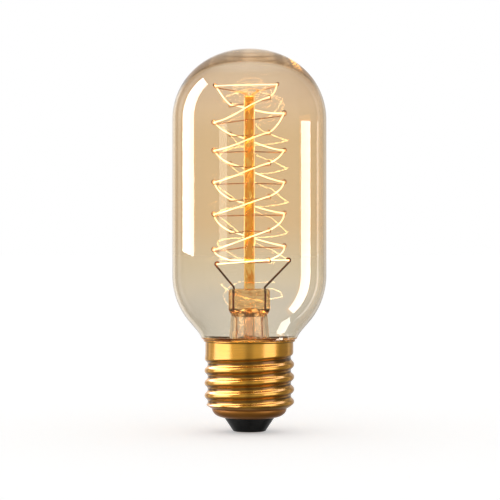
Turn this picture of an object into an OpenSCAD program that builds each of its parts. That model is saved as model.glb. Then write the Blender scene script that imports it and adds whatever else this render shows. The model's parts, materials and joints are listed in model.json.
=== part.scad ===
// Tubular filament lamp with a spiral cage filament on a glass stem and a screw cap.
// Millimetres. The origin is the centre of the lowest face of the centre contact,
// +Z runs up the lamp's axis to the crown of the glass, and the press faces -Y.

/* [Glass] */
// Height of the whole lamp, from the contact to the crown
lamp_h = 111.8; // [110:0.2:116]
// Outer diameter of the tubular glass
glass_d = 45; // [44:0.5:46]
// Thickness of the glass wall
glass_wall = 0.9; // [0.7:0.1:1.0]
// Height of the crown above the straight tube
crown_h = 21; // [20:0.5:22.5]
// Thickness of the glass at the middle of the crown
crown_wall = 2.2; // [1.6:0.1:2.6]

/* [Cage] */
// Radius at which the even pairs of support wires hold the filament
even_r = 10.7; // [10.4:0.1:11]
// Radius at which the odd pairs hold it
odd_r = 11.4; // [11:0.1:12]
// Height of the top pair of hooks
cage_top = 101.2; // [100:0.2:102]
// Drop from one pair of hooks to the next
level_drop = 4.64; // [4.3:0.02:4.7]
// Bearing of the first wire of the even pairs
even_bearing = 197; // [190:1:205]
// Bearing of the first wire of the odd pairs
odd_bearing = 120; // [114:1:126]
// How far the strands at the crown bow from the chord towards the full circle
bow_top = 0.1; // [0:0.05:0.4]
// The same for the strands at the foot of the cage
bow_foot = 0.6; // [0.3:0.05:0.8]
// How far the long strands sag at mid-span
strand_sag = 0.5; // [0.2:0.1:0.8]
// Diameter of the coiled filament
filament_d = 0.4; // [0.3:0.02:0.44]
// Diameter of the molybdenum support wires
support_d = 0.32; // [0.24:0.02:0.36]

/* [Stem] */
// Diameter of the glass rod
rod_d = 3.2; // [2.8:0.1:3.6]
// Height of the top of the glass rod
rod_top = 98.6; // [98.2:0.1:98.8]
// Height of the top edge of the press
press_top = 41.8; // [41:0.2:42.6]
// Width of the press across the leads
press_w = 12.1; // [11.6:0.1:12.6]
// Thickness of the press
press_t = 4.4; // [4:0.1:5]
// Outer diameter of the exhaust tube
exhaust_d = 3.2; // [2.8:0.1:3.4]
// Diameter of the nickel lead wires
lead_d = 0.6; // [0.5:0.05:0.7]

/* [Cap] */
// Diameter over the crests of the screw thread
thread_d = 26.2; // [26.05:0.05:26.4]
// Diameter at the roots of the screw thread
root_d = 24.3; // [24.2:0.05:24.5]
// Pitch of the screw thread, seven turns to the inch
thread_pitch = 3.629; // [3.6:0.001:3.65]
// Outer diameter of the plain skirt above the thread
skirt_d = 25.7; // [25.4:0.1:25.9]
// Diameter of the flared rim
rim_d = 26.8; // [26.4:0.1:27]
// Height of the rim above the contact
rim_top = 27; // [26.9:0.05:27.05]
// Thickness of the brass
shell_wall = 0.3; // [0.24:0.02:0.32]

/* [Hidden] */
$fn = 48;
LEVELS = 12;
HOOKS = 2 * LEVELS;
function two_digits(n) = str(n < 10 ? "0" : "", n);
function hook_name(i) = str("support_wire_", two_digits(i + 1));

// Glass: radii and heights of the outline, crown to neck
glass_r = glass_d / 2;
crown_z = lamp_h - crown_h;
crown_power = 2.07;
inner_crown_power = 2.3;
belly_z = 45.8;
belly_arc_r = 21.2;
belly_turn = 38.7;
neck_arc_r = 9.8;
neck_arc_x = 22.9;
neck_turn = 23.8;
inner_neck_turn = 25.3;
collar_round = 0.55;
seat_z = rim_top + 0.03;
collar_lift = collar_round * (1 - sin(neck_turn));
neck_arc_z = seat_z + collar_lift - neck_arc_r * sin(neck_turn);
collar_x = neck_arc_x - (neck_arc_r + collar_round) * cos(neck_turn);
neck_r = 11.95;
neck_fillet = 0.35;
neck_low = 24.4;
seal_z = 19.4;
seal_r = 11.1;

// Stem
lead_x = 4.5;
flare_top = 33.8;
flare_top_r = 5.3;
flare_wall = 1;
flare_waist_z = 28;
flare_waist_r = 5.85;
flare_rim_r = seal_r - glass_wall;
press_foot = 35.8;
seal_low = press_foot - 0.8;
press_crest = [press_w - 3.4, press_t - 1.6];
press_hollow = [2 * lead_x + 0.9, 1.5];
press_corner = 1.1;
rod_socket = 3;
bead_r = 3.6;
bead_low = rod_top - 1.2;
bead_high = rod_top + 1.3;
exhaust_top = 35.4;
exhaust_tip = 11;
exhaust_bore_r = 1;
blow_hole_z = 36.4;
blow_hole_r = 1;

// Lead wires: places in the plane of the press
left_tip = [-9.4, 49.0];
right_tip = [11.4, 50.1];
splice_z = 40.4;
outer_d = 0.4;
seal_wire_d = 0.5;
side_bearing = 110;
low_r = 11.55;
side_lead_r = 12.2;
side_lead_top = 26.75;

// Hooks: the eye of each support wire curls up and over the filament with play round it
eye_play = 0.3;
eye_r = filament_d / 2 + support_d / 2 + eye_play;
eye_turn = 240;
eye_lean = 20;
root_drop = 0.8;
lead_eye_r = filament_d / 2 + lead_d / 2 + 0.04;
lead_eye_turn = 190;
wire_root_r = 0.45;
bend_swell = 1.12;
// The top pair reaches less far than the rest: first strand, second strand
top_pair_reach = [0.97, 0.8];
// How far each hand-set tip stands above its even spacing: first strand, second strand
tip_lift = [[-0.5, 0.5], [-0.7, 0.1], [1.2, -1.8], [-0.5, 0.3], [-0.7, -0.3], [0.8, 0],
            [-0.3, -0.6], [-0.3, -0.5], [-0.6, -0.2], [-0.8, -0.7], [-0.5, -1.6], [0.1, -0.1]];

// Cap: heights of the brass shell
shell_low = 4.35;
mouth_r = 7.4;
shoulder_z = 6.9;
shoulder_r = 10.9;
ledge_z = 8.2;
ledge_top = ledge_z + 0.6;
crest_z = 8.85;
run_out = 1310;
run_out_fade = 60;
skirt_z = 22.6;
skirt_blend_z = 20.5;
skirt_blend = 2.5;
lip_z = 26.3;
shell_steps = 36;
rows_a_pitch = 8;
insulator_low = 0.3;
insulator_low_r = 4.85;
insulator_top = 8.4;
contact_r = 4.1;
contact_t = 0.45;
solder_r = 2.1;
solder_flat_r = 1.3;
wire_hole_r = 1;

// A run of points on an arc: centre, radius, first and last angle, steps
function arc(c, r, a, b, n) = [for (i = [0 : n]) c + r * [cos(a + (b - a) * i / n), sin(a + (b - a) * i / n)]];

// Outline of the glass, drawn in from the outer surface by inset
function crown_arc(inset, drop, power) =
    [for (i = [0 : 26]) let (a = 90 - 90 * i / 26)
        [(glass_r - inset) * pow(cos(a), 2 / power),
         crown_z + (crown_h - drop) * pow(sin(a), 2 / power)]];
function belly_arc(inset) =
    arc([glass_r - belly_arc_r, belly_z], belly_arc_r - inset, 0, -belly_turn, 12);
function neck_arc(inset, stop) =
    arc([neck_arc_x, neck_arc_z], neck_arc_r + inset, 180 - belly_turn, 180 - stop, 8);
function foot_outer() = concat(
    arc([collar_x, seat_z + collar_round], collar_round, -neck_turn, -90, 5),
    arc([neck_r + neck_fillet, seat_z - neck_fillet], neck_fillet, 90, 180, 4),
    [[neck_r, neck_low], [seal_r + 0.1, neck_low - 1.8]],
    arc([seal_r - 1.1, seal_z + 1.1], 1.1, 0, -90, 4)
);
function foot_inner() = [
    [flare_rim_r - 0.6, seal_z],
    [flare_rim_r, seal_z + 0.5],
    [flare_rim_r, seal_z + 2.4],
    [neck_r - glass_wall, neck_low - 0.6],
    [neck_r - glass_wall, seat_z - 0.7],
    [neck_r - glass_wall + 0.35, seat_z + 0.2],
    [neck_r + 0.25, seat_z + glass_wall - 0.08]
];

// Support wires: first strand 0, second strand 1, levels from the top
function bearing(level, strand) =
    even_bearing - 180 * floor(level / 2) - (level % 2) * (even_bearing - odd_bearing) - 180 * strand;
function reach(level, strand) =
    level == 0 ? even_r * top_pair_reach[strand] : level % 2 == 0 ? even_r : odd_r;
function tip_z(level, strand) = cage_top - level_drop * level + tip_lift[level][strand];
function hook_at(level, strand) =
    let (b = bearing(level, strand), r = reach(level, strand)) [r * cos(b), r * sin(b), tip_z(level, strand)];
function root_z(level) = level == 0 ? bead_low + 1.1 : cage_top - level_drop * level - root_drop;
function lead_eye(strand) =
    let (tip = strand == 0 ? left_tip : right_tip) [tip[0], 0, tip[1]];

// Where the filament is held next: across the crown, at another hook, or in the lead's eye
function hold(level, strand) =
    level < 0 ? hook_at(0, 1 - strand) : level == LEVELS ? lead_eye(strand) : hook_at(level, strand);

// Each eye stands square to the filament that runs through it
function eye_bearing(level, strand) =
    let (h = hook_at(level, strand),
         along = unit(hold(level + 1, strand) - h) + unit(h - hold(level - 1, strand)))
    atan2(along[1], along[0]) + 90;
function eye_low(level, strand) =
    let (b = eye_bearing(level, strand), side = eye_r * sin(eye_lean))
    hook_at(level, strand) + [-side * sin(b), side * cos(b), -eye_r * cos(eye_lean)];

// A hot strand between two hooks bows out from its chord, and a long one sags too
function strand_bow(level) = bow_top + (bow_foot - bow_top) * level / (LEVELS - 2);
function strand_point(level, strand, t) =
    let (a = bearing(level, strand),
         b = bearing(level + 1, strand),
         half = (a - b) / 2,
         turn = a + (b - a) * t,
         chord = cos(half) / cos(turn - (a + b) / 2),
         r = (reach(level, strand) * (1 - t) + reach(level + 1, strand) * t)
             * (chord + (1 - chord) * strand_bow(level)),
         sag = level % 2 == 0 ? 0 : strand_sag * 4 * t * (1 - t))
    [r * cos(turn), r * sin(turn),
     tip_z(level, strand) * (1 - t) + tip_z(level + 1, strand) * t - sag];
RINGS_A_STRETCH = 6;
function strand(s) =
    [for (level = [0 : LEVELS - 2]) for (k = [0 : RINGS_A_STRETCH - 1])
        strand_point(level, s, k / RINGS_A_STRETCH)];
function reversed(list) = [for (i = [len(list) - 1 : -1 : 0]) list[i]];
// The last stretch runs from the lowest hook to the lead's eye, then turns square into it
end_run = 1.2;
end_free = 0.8;
function tail(s, side) =
    let (h = hook_at(LEVELS - 1, s), e = lead_eye(s), n = 4, along = [0, side, 0],
         near = e - end_run * along)
    concat([for (k = [0 : n - 1]) h + (near - h) * (k / n)],
           [near + [side * end_run / 8, 0, 0], e - along * end_run / 2,
            e + along * end_free / 3, e + along * end_free]);
function bridge() =
    let (a = hook_at(0, 0), b = hook_at(0, 1)) [for (k = [1 : 4]) a + (b - a) * (k / 5)];
function filament_path() = concat(
    reversed(tail(0, 1)), reversed(strand(0)), bridge(), strand(1), tail(1, -1));

// Tube of n sides swept along a path that never runs upright
function unit(v) = v / norm(v);
function sweep_points(path, r, n) =
    [for (i = [0 : len(path) - 1])
        let (t = unit(path[min(i + 1, len(path) - 1)] - path[max(i - 1, 0)]),
             side = unit(cross(t, [0, 0, 1])),
             up = cross(side, t))
        for (k = [0 : n - 1]) path[i] + r * (cos(360 * k / n) * side + sin(360 * k / n) * up)];
function sweep_faces(rings, n) = concat(
    [for (i = [0 : rings - 2]) for (k = [0 : n - 1])
        let (a = i * n + k, b = i * n + (k + 1) % n) each [[a, b, b + n], [a, b + n, a + n]]],
    [for (k = [1 : n - 2]) [0, k + 1, k]],
    [for (k = [1 : n - 2]) let (e = (rings - 1) * n) [e, e + k, e + k + 1]]
);

// Least gap between stretches of the filament that aren't neighbours
skip = RINGS_A_STRETCH + 2;
function least_gap(path) =
    min([for (i = [0 : len(path) - 1 - skip]) for (j = [i + skip : len(path) - 1])
        norm(path[i] - path[j])]) - filament_d;
echo(filament_least_gap_mm = least_gap(filament_path()));
echo(filament_rings = len(filament_path()));

// Thread: two equal arcs joined at the flank, measured from the crest in pitches
thread_depth = (thread_d - root_d) / 2;
thread_round = (pow(thread_pitch / 4, 2) + pow(thread_depth / 2, 2)) / thread_depth;
function round_drop(w) = thread_round - sqrt(thread_round * thread_round - w * w);
function thread_drop(part) =
    let (w = min(part, 1 - part) * thread_pitch, q = thread_pitch / 4)
    w <= q ? round_drop(w) : thread_depth - round_drop(2 * q - w);
function ease(x) = let (t = max(0, min(1, x))) t * t * (3 - 2 * t);
function thread_r(turn, z) =
    let (u = (z - crest_z) / thread_pitch - turn / 360,
         groove = floor(u),
         along = turn + 360 * (groove + 0.5),
         depth = ease((run_out - along) / run_out_fade),
         top_r = thread_d / 2 + (skirt_d - thread_d) / 2 * ease((z - skirt_blend_z) / skirt_blend))
    top_r - depth * thread_drop(u - groove);
function ledge_r(z) =
    shoulder_r + (thread_d / 2 - shoulder_r) * sin(90 * min(1, (z - shoulder_z) / (ledge_top - shoulder_z)));
function shell_r(turn, z) = z < ledge_top ? min(ledge_r(z), thread_r(turn, z)) : thread_r(turn, z);

// Rows of the brass shell, mouth to rim; each is [kind, value]
thread_rows = ceil((skirt_z - ledge_z) / thread_pitch * rows_a_pitch);
row_heights = concat(
    [shoulder_z + 0.05, shoulder_z + 0.5, shoulder_z + 0.95],
    [for (i = [0 : thread_rows]) ledge_z + (skirt_z - ledge_z) * i / thread_rows],
    [23.3, lip_z - 0.25]
);
lip_out = 0.55;
lip_rise = 0.7;
lip = [[0, 0], [0.3, 0.1], [0.5, 0.22], [lip_out, 0.4], [0.5, 0.58], [0.36, lip_rise]];
lip_inside = [[0, 0], [0.05, 0.2], [0.25, 0.34], [0.3, 0.46], [0.33, 0.58], [0.36, lip_rise]];
function lip_point(p, inset) =
    [skirt_d / 2 + p[0] * (rim_d - skirt_d) / (2 * lip_out) - inset, lip_z + p[1] * (rim_top - lip_z) / lip_rise];
function shell_ring(turn, inset) = concat(
    [for (i = [0 : 5]) let (a = 90 - 15 * i)
        [mouth_r + (shoulder_r - mouth_r - inset) * cos(a),
         shoulder_z - (shoulder_z - shell_low - inset) * sin(a)]],
    [for (z = row_heights) [shell_r(turn, z) - inset, z]],
    [for (p = inset == 0 ? lip : lip_inside) lip_point(p, inset)]
);
function shell_points() =
    [for (k = [0 : shell_steps - 1]) let (turn = 360 * k / shell_steps)
        for (p = concat(shell_ring(turn, 0), reversed(shell_ring(turn, shell_wall))))
            [p[0] * cos(turn), p[0] * sin(turn), p[1]]];

// A straight wire from p to q
module rod_between(p, q, r) {
    d = q - p;
    translate(p)
        rotate([0, acos(d[2] / norm(d)), atan2(d[1], d[0])])
            cylinder(r = r, h = norm(d));
}

// The small swelling where a wire is bent
module bend(p, r) {
    translate(p) sphere(r = r * bend_swell);
}

// A wire bent at each of its points
module bent_wire(points, r) {
    for (i = [0 : len(points) - 2])
        rod_between(points[i], points[i + 1], r);
    for (i = [1 : len(points) - 2])
        bend(points[i], r);
}

// An eye in the XZ plane, centred on the origin
module wire_eye(bend_r, r, start, sweep_turn) {
    rotate([90, 0, 0])
        rotate([0, 0, start])
            rotate_extrude(angle = sweep_turn)
                translate([bend_r, 0]) circle(r = r);
}

module hook_shank(level, strand) {
    b = bearing(level, strand);
    foot = [wire_root_r * cos(b), wire_root_r * sin(b), root_z(level)];
    rod_between(foot, eye_low(level, strand), support_d / 2);
}

module support_wire(i) {
    level = floor(i / 2);
    strand = i % 2;
    color("saddlebrown") {
        hook_shank(level, strand);
        bend(eye_low(level, strand), support_d / 2);
        translate(hook_at(level, strand))
            rotate([0, 0, eye_bearing(level, strand)])
                rotate([eye_lean, 0, 0])
                    wire_eye(eye_r, support_d / 2, -90, eye_turn);
    }
}

module bulb_glass() {
    color([0.84, 0.68, 0.46, 0.4])
        rotate_extrude()
            polygon(concat(
                crown_arc(0, 0, crown_power), belly_arc(0), neck_arc(0, neck_turn), foot_outer(),
                foot_inner(), reversed(neck_arc(glass_wall, inner_neck_turn)),
                reversed(belly_arc(glass_wall)),
                reversed(crown_arc(glass_wall, crown_wall, inner_crown_power))));
}

// Trumpet tube that closes the neck: its wall turns out to the sealed rim
module stem_flare() {
    out = flare_rim_r - flare_waist_r;
    drop = flare_waist_z - seal_z - flare_wall - 0.5;
    outer = [for (i = [0 : 10]) let (a = 9 * i)
        [flare_waist_r + out * (1 - cos(a)), flare_waist_z - drop * sin(a)]];
    inner = [for (i = [0 : 10]) let (a = 9 * i)
        outer[i] - flare_wall * unit([drop * cos(a), out * sin(a)])];
    color([0.9, 0.8, 0.7, 0.5])
        rotate_extrude()
            polygon(concat(
                [[flare_top_r - flare_wall, flare_top], [flare_top_r, flare_top]],
                outer, reversed(inner)));
}

module stem_press() {
    color([0.93, 0.78, 0.6, 0.6])
        difference() {
            union() {
                hull() {
                    for (x = [-1, 1]) translate([x * (press_w / 2 - press_t / 2), 0, press_foot])
                        cylinder(d = press_t, h = press_top - press_corner - press_foot, $fn = 24);
                    translate([0, 0, press_top - press_corner])
                        linear_extrude(press_corner)
                            square(press_crest, center = true);
                }
                hull() {
                    for (x = [-1, 1]) translate([x * (press_w / 2 - press_t / 2), 0, press_foot])
                        cylinder(d = press_t, h = 0.2, $fn = 24);
                    translate([0, 0, flare_top]) cylinder(r = flare_top_r, h = 0.2, $fn = 32);
                }
            }
            hull() {
                translate([0, 0, seal_low - 0.1]) linear_extrude(0.1) square(press_hollow, center = true);
                translate([0, 0, flare_top - 0.1]) cylinder(r = flare_top_r - flare_wall, h = 0.1, $fn = 32);
            }
            translate([0, 0, press_top - rod_socket]) cylinder(d = rod_d, h = rod_socket + 1);
            translate([0, 0, flare_top - 1]) cylinder(d = exhaust_d, h = exhaust_top - flare_top + 1);
            translate([0, 0, exhaust_top - 0.5]) cylinder(r = exhaust_bore_r, h = blow_hole_z - exhaust_top + 0.9);
            translate([0, 0, blow_hole_z]) rotate([90, 0, 0]) cylinder(r = blow_hole_r, h = press_t);
            for (x = [-lead_x, lead_x]) {
                translate([x, 0, splice_z]) cylinder(d = lead_d, h = 3);
                translate([x, 0, seal_low - 1]) cylinder(d = seal_wire_d, h = splice_z - seal_low + 1);
            }
        }
}

module exhaust_tube() {
    color([0.92, 0.82, 0.72, 0.5])
        rotate_extrude()
            polygon([
                [exhaust_bore_r, exhaust_top], [exhaust_d / 2, exhaust_top],
                [exhaust_d / 2, exhaust_tip + 3], [exhaust_d / 2 - 0.35, exhaust_tip + 1.6],
                [0.7, exhaust_tip + 0.5], [0, exhaust_tip],
                [0, exhaust_tip + 1.6], [0.5, exhaust_tip + 2.2], [exhaust_bore_r, exhaust_tip + 3.4]]);
}

module support_rod() {
    color([0.93, 0.62, 0.25, 0.8])
        difference() {
            translate([0, 0, press_top - rod_socket])
                cylinder(d = rod_d, h = bead_low + 0.4 - press_top + rod_socket);
            for (i = [2 : HOOKS - 1]) hook_shank(floor(i / 2), i % 2);
        }
}

// The melted bead on the rod's end, which holds the top pair of wires
module rod_bead() {
    mid = (bead_low + bead_high) / 2;
    half = (bead_high - bead_low) / 2;
    round_edge = [for (i = [0 : 12]) let (a = -90 + 15 * i)
        [bead_r - half + half * cos(a), mid + half * sin(a)]];
    color([0.95, 0.82, 0.6, 0.6])
        difference() {
            rotate_extrude()
                polygon(concat(
                    [[0, bead_low]], round_edge, [[1.4, bead_high + 0.18], [0, bead_high + 0.25]]));
            translate([0, 0, bead_low - 1]) cylinder(d = rod_d, h = 1.4);
            for (strand = [0, 1]) hook_shank(0, strand);
        }
}

module filament() {
    path = filament_path();
    sides = 6;
    color("gold")
        polyhedron(sweep_points(path, filament_d / 2, sides), sweep_faces(len(path), sides));
}

// Nickel lead: out of the press, up to the cage, and folded over the filament's end
module inner_lead(strand, side) {
    knee = [side * lead_x, 0, press_top + 0.4];
    e = lead_eye(strand);
    span = e - knee;
    long = norm(span);
    lean = atan2(span[2], side * span[0]) - asin(lead_eye_r / long);
    run = sqrt(long * long - lead_eye_r * lead_eye_r);
    touch = knee + run * [side * cos(lean), 0, sin(lean)];
    color("dimgray") {
        bent_wire([[side * lead_x, 0, splice_z], knee, touch], lead_d / 2);
        bend(touch, lead_d / 2);
        translate(e)
            rotate([0, 0, side < 0 ? 180 : 0])
                wire_eye(lead_eye_r, lead_d / 2, lean - 90, lead_eye_turn);
    }
}

module seal_wire(side) {
    color("firebrick")
        translate([side * lead_x, 0, seal_low])
            cylinder(d = seal_wire_d, h = splice_z - seal_low);
}

// A place round the axis at the side lead's bearing
function at_side(r, z) = [r * cos(side_bearing), r * sin(side_bearing), z];

module outer_lead_shell() {
    color("peru")
        bent_wire([
            [-lead_x, 0, seal_low], [-lead_x, 0, 34.6], [-3.7, 0, 33], [-3.9, 0, 25], [-4.2, 3.4, 20],
            at_side(9.2, 18.4), at_side(low_r, 18.8), at_side(low_r, 21.9),
            at_side(side_lead_r, 23), at_side(side_lead_r, side_lead_top)], outer_d / 2);
}

module outer_lead_contact() {
    color("peru")
        bent_wire([
            [lead_x, 0, seal_low], [lead_x, 0, 34.6], [3.7, 0, 33], [3.9, 0, 24], [3.2, 0, 12],
            [0, 0, 9.2], [0, 0, 1]], outer_d / 2);
}

module basing_cement() {
    r = skirt_d / 2 - shell_wall - 0.06;
    color("burlywood")
        difference() {
            rotate_extrude()
                polygon([[neck_r, neck_low], [r, neck_low], [r, lip_z], [neck_r, lip_z]]);
            translate(at_side(side_lead_r, neck_low - 1)) cylinder(d = outer_d, h = 5);
        }
}

module screw_shell() {
    ring = 2 * len(shell_ring(0, 0));
    faces = [for (k = [0 : shell_steps - 1]) for (i = [0 : ring - 1])
        let (a = k * ring + i,
             b = k * ring + (i + 1) % ring,
             c = ((k + 1) % shell_steps) * ring + (i + 1) % ring,
             d = ((k + 1) % shell_steps) * ring + i)
        each [[a, b, c], [a, c, d]]];
    color("goldenrod") polyhedron(shell_points(), faces);
}

module insulator() {
    play = 0.05;
    seat = [for (i = [0 : 5]) let (a = 90 - 15 * i)
        [mouth_r - play + (shoulder_r - mouth_r - shell_wall) * cos(a),
         shoulder_z - (shoulder_z - shell_low - shell_wall - play) * sin(a)]];
    color([0.06, 0.06, 0.05])
        difference() {
            rotate_extrude()
                polygon(concat(
                    [[0, insulator_low], [insulator_low_r - 0.35, insulator_low],
                     [insulator_low_r - 0.1, insulator_low + 0.1], [insulator_low_r + 0.1, insulator_low + 0.4],
                     [mouth_r - play, shell_low - 0.1]],
                    seat,
                    [[shoulder_r - shell_wall - play, insulator_top - 0.9],
                     [shoulder_r - 1.4, insulator_top], [0, insulator_top]]));
            cylinder(r = contact_r, h = insulator_low + contact_t);
            cylinder(r = wire_hole_r, h = insulator_top + 1);
        }
}

module centre_contact() {
    color("darkgoldenrod")
        difference() {
            translate([0, 0, insulator_low]) cylinder(r = contact_r, h = contact_t);
            cylinder(r = wire_hole_r, h = 2);
        }
}

module contact_solder() {
    top = insulator_low + contact_t + 0.6;
    color("silver")
        difference() {
            rotate_extrude()
                polygon([[0, 0], [solder_flat_r, 0], [solder_r - 0.3, 0.1], [solder_r, insulator_low],
                         [wire_hole_r, insulator_low], [wire_hole_r, top], [0, top + 0.2]]);
            translate([0, 0, 1]) cylinder(d = outer_d, h = 3);
        }
}

module shell_solder() {
    span = 16;
    inside = neck_r + 0.2;
    top = rim_top - 0.1;
    color("silver")
        difference() {
            rotate([0, 0, side_bearing - span / 2])
                rotate_extrude(angle = span)
                    polygon([[neck_r, lip_z], [12.45, lip_z], [12.75, top], [inside, top], [neck_r, top - 0.3]]);
            translate(at_side(side_lead_r, neck_low)) cylinder(d = outer_d, h = side_lead_top - neck_low);
        }
}

bulb_glass();
stem_flare();
stem_press();
exhaust_tube();
support_rod();
rod_bead();
for (i = [0 : HOOKS - 1])
    support_wire(i);
filament();
inner_lead(0, -1);  // inner_lead_left
inner_lead(1, 1);  // inner_lead_right
seal_wire(-1);  // seal_wire_left
seal_wire(1);  // seal_wire_right
outer_lead_shell();
outer_lead_contact();
basing_cement();
screw_shell();
insulator();
centre_contact();
contact_solder();
shell_solder();
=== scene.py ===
# Tubular filament lamp: its looks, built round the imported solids.
# Lengths in the dictionaries are millimetres, in the studio's metres; turns are degrees, colours linear.
import json
import math

import bmesh
import bpy
import numpy as np
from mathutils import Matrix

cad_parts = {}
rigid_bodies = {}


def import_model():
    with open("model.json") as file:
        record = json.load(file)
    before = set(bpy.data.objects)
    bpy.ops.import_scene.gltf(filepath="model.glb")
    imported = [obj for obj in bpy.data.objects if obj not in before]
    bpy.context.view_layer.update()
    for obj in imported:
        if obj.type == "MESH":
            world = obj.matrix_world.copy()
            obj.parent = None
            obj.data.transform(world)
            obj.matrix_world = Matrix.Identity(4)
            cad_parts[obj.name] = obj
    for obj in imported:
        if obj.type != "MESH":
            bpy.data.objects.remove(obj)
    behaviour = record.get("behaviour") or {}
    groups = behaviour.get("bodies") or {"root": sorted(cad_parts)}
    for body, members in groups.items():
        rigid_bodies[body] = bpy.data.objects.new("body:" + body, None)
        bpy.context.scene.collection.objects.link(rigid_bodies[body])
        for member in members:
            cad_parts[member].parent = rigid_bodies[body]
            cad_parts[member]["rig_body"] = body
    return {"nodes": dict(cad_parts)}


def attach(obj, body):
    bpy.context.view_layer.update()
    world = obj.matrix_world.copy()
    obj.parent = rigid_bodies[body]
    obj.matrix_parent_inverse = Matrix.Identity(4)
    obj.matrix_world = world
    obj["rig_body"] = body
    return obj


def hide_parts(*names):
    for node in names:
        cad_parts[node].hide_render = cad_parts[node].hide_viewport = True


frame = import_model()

for spare in [o for o in bpy.data.objects if "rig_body" not in o and not o.name.startswith("body:")]:
    bpy.data.objects.remove(spare)
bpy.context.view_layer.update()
nodes = frame["nodes"]
scene = bpy.context.scene
mm = 0.001
print("frame loaded:", len(nodes), "nodes")


# helpers that make meshes

def arc(centre, radius, first, last, steps):
    # points on a circle, from the first angle to the last
    a = np.radians(np.linspace(first, last, steps + 1))
    return np.stack([centre[0] + radius * np.cos(a), centre[1] + radius * np.sin(a)], -1)


def ease(x):
    # smooth step: three x squared less two x cubed, held between 0 and 1
    t = np.clip(x, 0, 1)
    return t * t * (3 - 2 * t)


def gridMesh(name, points, wrapU=True, sharp=40):
    # a grid of points, u by v, becomes quads; poles and seams are merged and faces turned outwards
    nu, nv = points.shape[:2]
    ids = np.arange(nu * nv).reshape(nu, nv)
    quads = np.stack([ids, np.roll(ids, -1, 0), np.roll(np.roll(ids, -1, 0), -1, 1), np.roll(ids, -1, 1)], -1)
    quads = quads[: nu if wrapU else nu - 1].reshape(-1, 4)
    mesh = bpy.data.meshes.new(name)
    mesh.vertices.add(nu * nv)
    mesh.vertices.foreach_set("co", (points * mm).astype(np.float32).ravel())
    mesh.loops.add(quads.size)
    mesh.loops.foreach_set("vertex_index", quads.astype(np.int32).ravel())
    mesh.polygons.add(len(quads))
    mesh.polygons.foreach_set("loop_start", np.arange(0, quads.size, 4, dtype=np.int32))
    mesh.update(calc_edges=True)
    mesh.validate()
    work = bmesh.new()
    work.from_mesh(mesh)
    bmesh.ops.remove_doubles(work, verts=work.verts, dist=1e-7)
    bmesh.ops.recalc_face_normals(work, faces=work.faces)
    work.to_mesh(mesh)
    work.free()
    mesh.shade_smooth()
    mesh.set_sharp_from_angle(angle=math.radians(sharp))
    return mesh


def revolve(name, profile, turns, sharp=40):
    # a closed outline of radius and height, carried once round the axis
    a = np.radians(np.arange(turns) * 360 / turns)[:, None]
    r, z = profile[None, :, 0], profile[None, :, 1]
    return gridMesh(name, np.stack([r * np.cos(a), r * np.sin(a), z + 0 * a], -1), sharp=sharp)


def addPiece(mesh, material, slotName, *stoodFor):
    # a mesh becomes a piece of the lamp, in place of the nodes that it stands for
    piece = bpy.data.objects.new(mesh.name, mesh)
    scene.collection.objects.link(piece)
    mesh.materials.append(material)
    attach(piece, "root")
    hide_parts(*stoodFor)


def dressNode(nodeName, material):
    # a solid that stays as it is gets its material
    node = nodes[nodeName]
    node.data.materials.clear()
    node.data.materials.append(material)


# helpers that make materials

def newMaterial(name):
    material = bpy.data.materials.new(name)
    material.use_nodes = True
    tree = material.node_tree
    return material, tree, tree.nodes["Principled BSDF"]


def link(tree, source, target):
    tree.links.new(source, target)


def setInputs(node, **values):
    # inputs by name, with _ for a space; a colour is written without its alpha
    for key, value in values.items():
        node.inputs[key.replace("_", " ")].default_value = (*value, 1) if isinstance(value, tuple) else value


def addNode(tree, kind, **values):
    made = tree.nodes.new(kind)
    setInputs(made, **values)
    return made


def maths(tree, operation, first, second=None, clamp=False):
    # the two values are numbers or sockets
    made = tree.nodes.new("ShaderNodeMath")
    made.operation = operation
    made.use_clamp = clamp
    for k, value in enumerate([first, second]):
        if isinstance(value, (int, float)):
            made.inputs[k].default_value = value
        elif value is not None:
            link(tree, value, made.inputs[k])
    return made.outputs[0]


def plus(tree, first, second):
    return maths(tree, "ADD", first, second)


def minus(tree, first, second, clamp=False):
    return maths(tree, "SUBTRACT", first, second, clamp)


def times(tree, first, second, clamp=False):
    return maths(tree, "MULTIPLY", first, second, clamp)


def unsigned(tree, value):
    return maths(tree, "ABSOLUTE", value)


def past(tree, value, limit=0.5):
    # 1 where the value is over the limit, otherwise 0
    return maths(tree, "GREATER_THAN", value, limit)


def distance(tree, first, second):
    # square root of the sum of the two squares
    return maths(tree, "SQRT", plus(tree, times(tree, first, first), times(tree, second, second)))


def share(tree, value, low, high):
    # 0 at the low value and 1 at the high one, held between them
    span = addNode(tree, "ShaderNodeMapRange", From_Min=low, From_Max=high)
    link(tree, value, span.inputs["Value"])
    return span.outputs["Result"]


def ramp(tree, factor, stops):
    # colours, or plain levels, set at places along a factor
    made = tree.nodes.new("ShaderNodeValToRGB")
    while len(made.color_ramp.elements) < len(stops):
        made.color_ramp.elements.new(0.5)
    for element, (place, colour) in zip(made.color_ramp.elements, stops):
        element.position = place
        element.color = (*colour, 1) if isinstance(colour, tuple) else (colour, colour, colour, 1)
    link(tree, factor, made.inputs[0])
    return made.outputs[0]


def objectPoint(tree, scale=(1, 1, 1), turn=(0, 0, 0)):
    # object coordinates in millimetres, stretched or turned
    place = tree.nodes.new("ShaderNodeTexCoord")
    mapped = tree.nodes.new("ShaderNodeMapping")
    mapped.inputs["Scale"].default_value = [1000 * s for s in scale]
    mapped.inputs["Rotation"].default_value = [math.radians(t) for t in turn]
    link(tree, place.outputs["Object"], mapped.inputs["Vector"])
    return mapped.outputs["Vector"]


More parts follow.
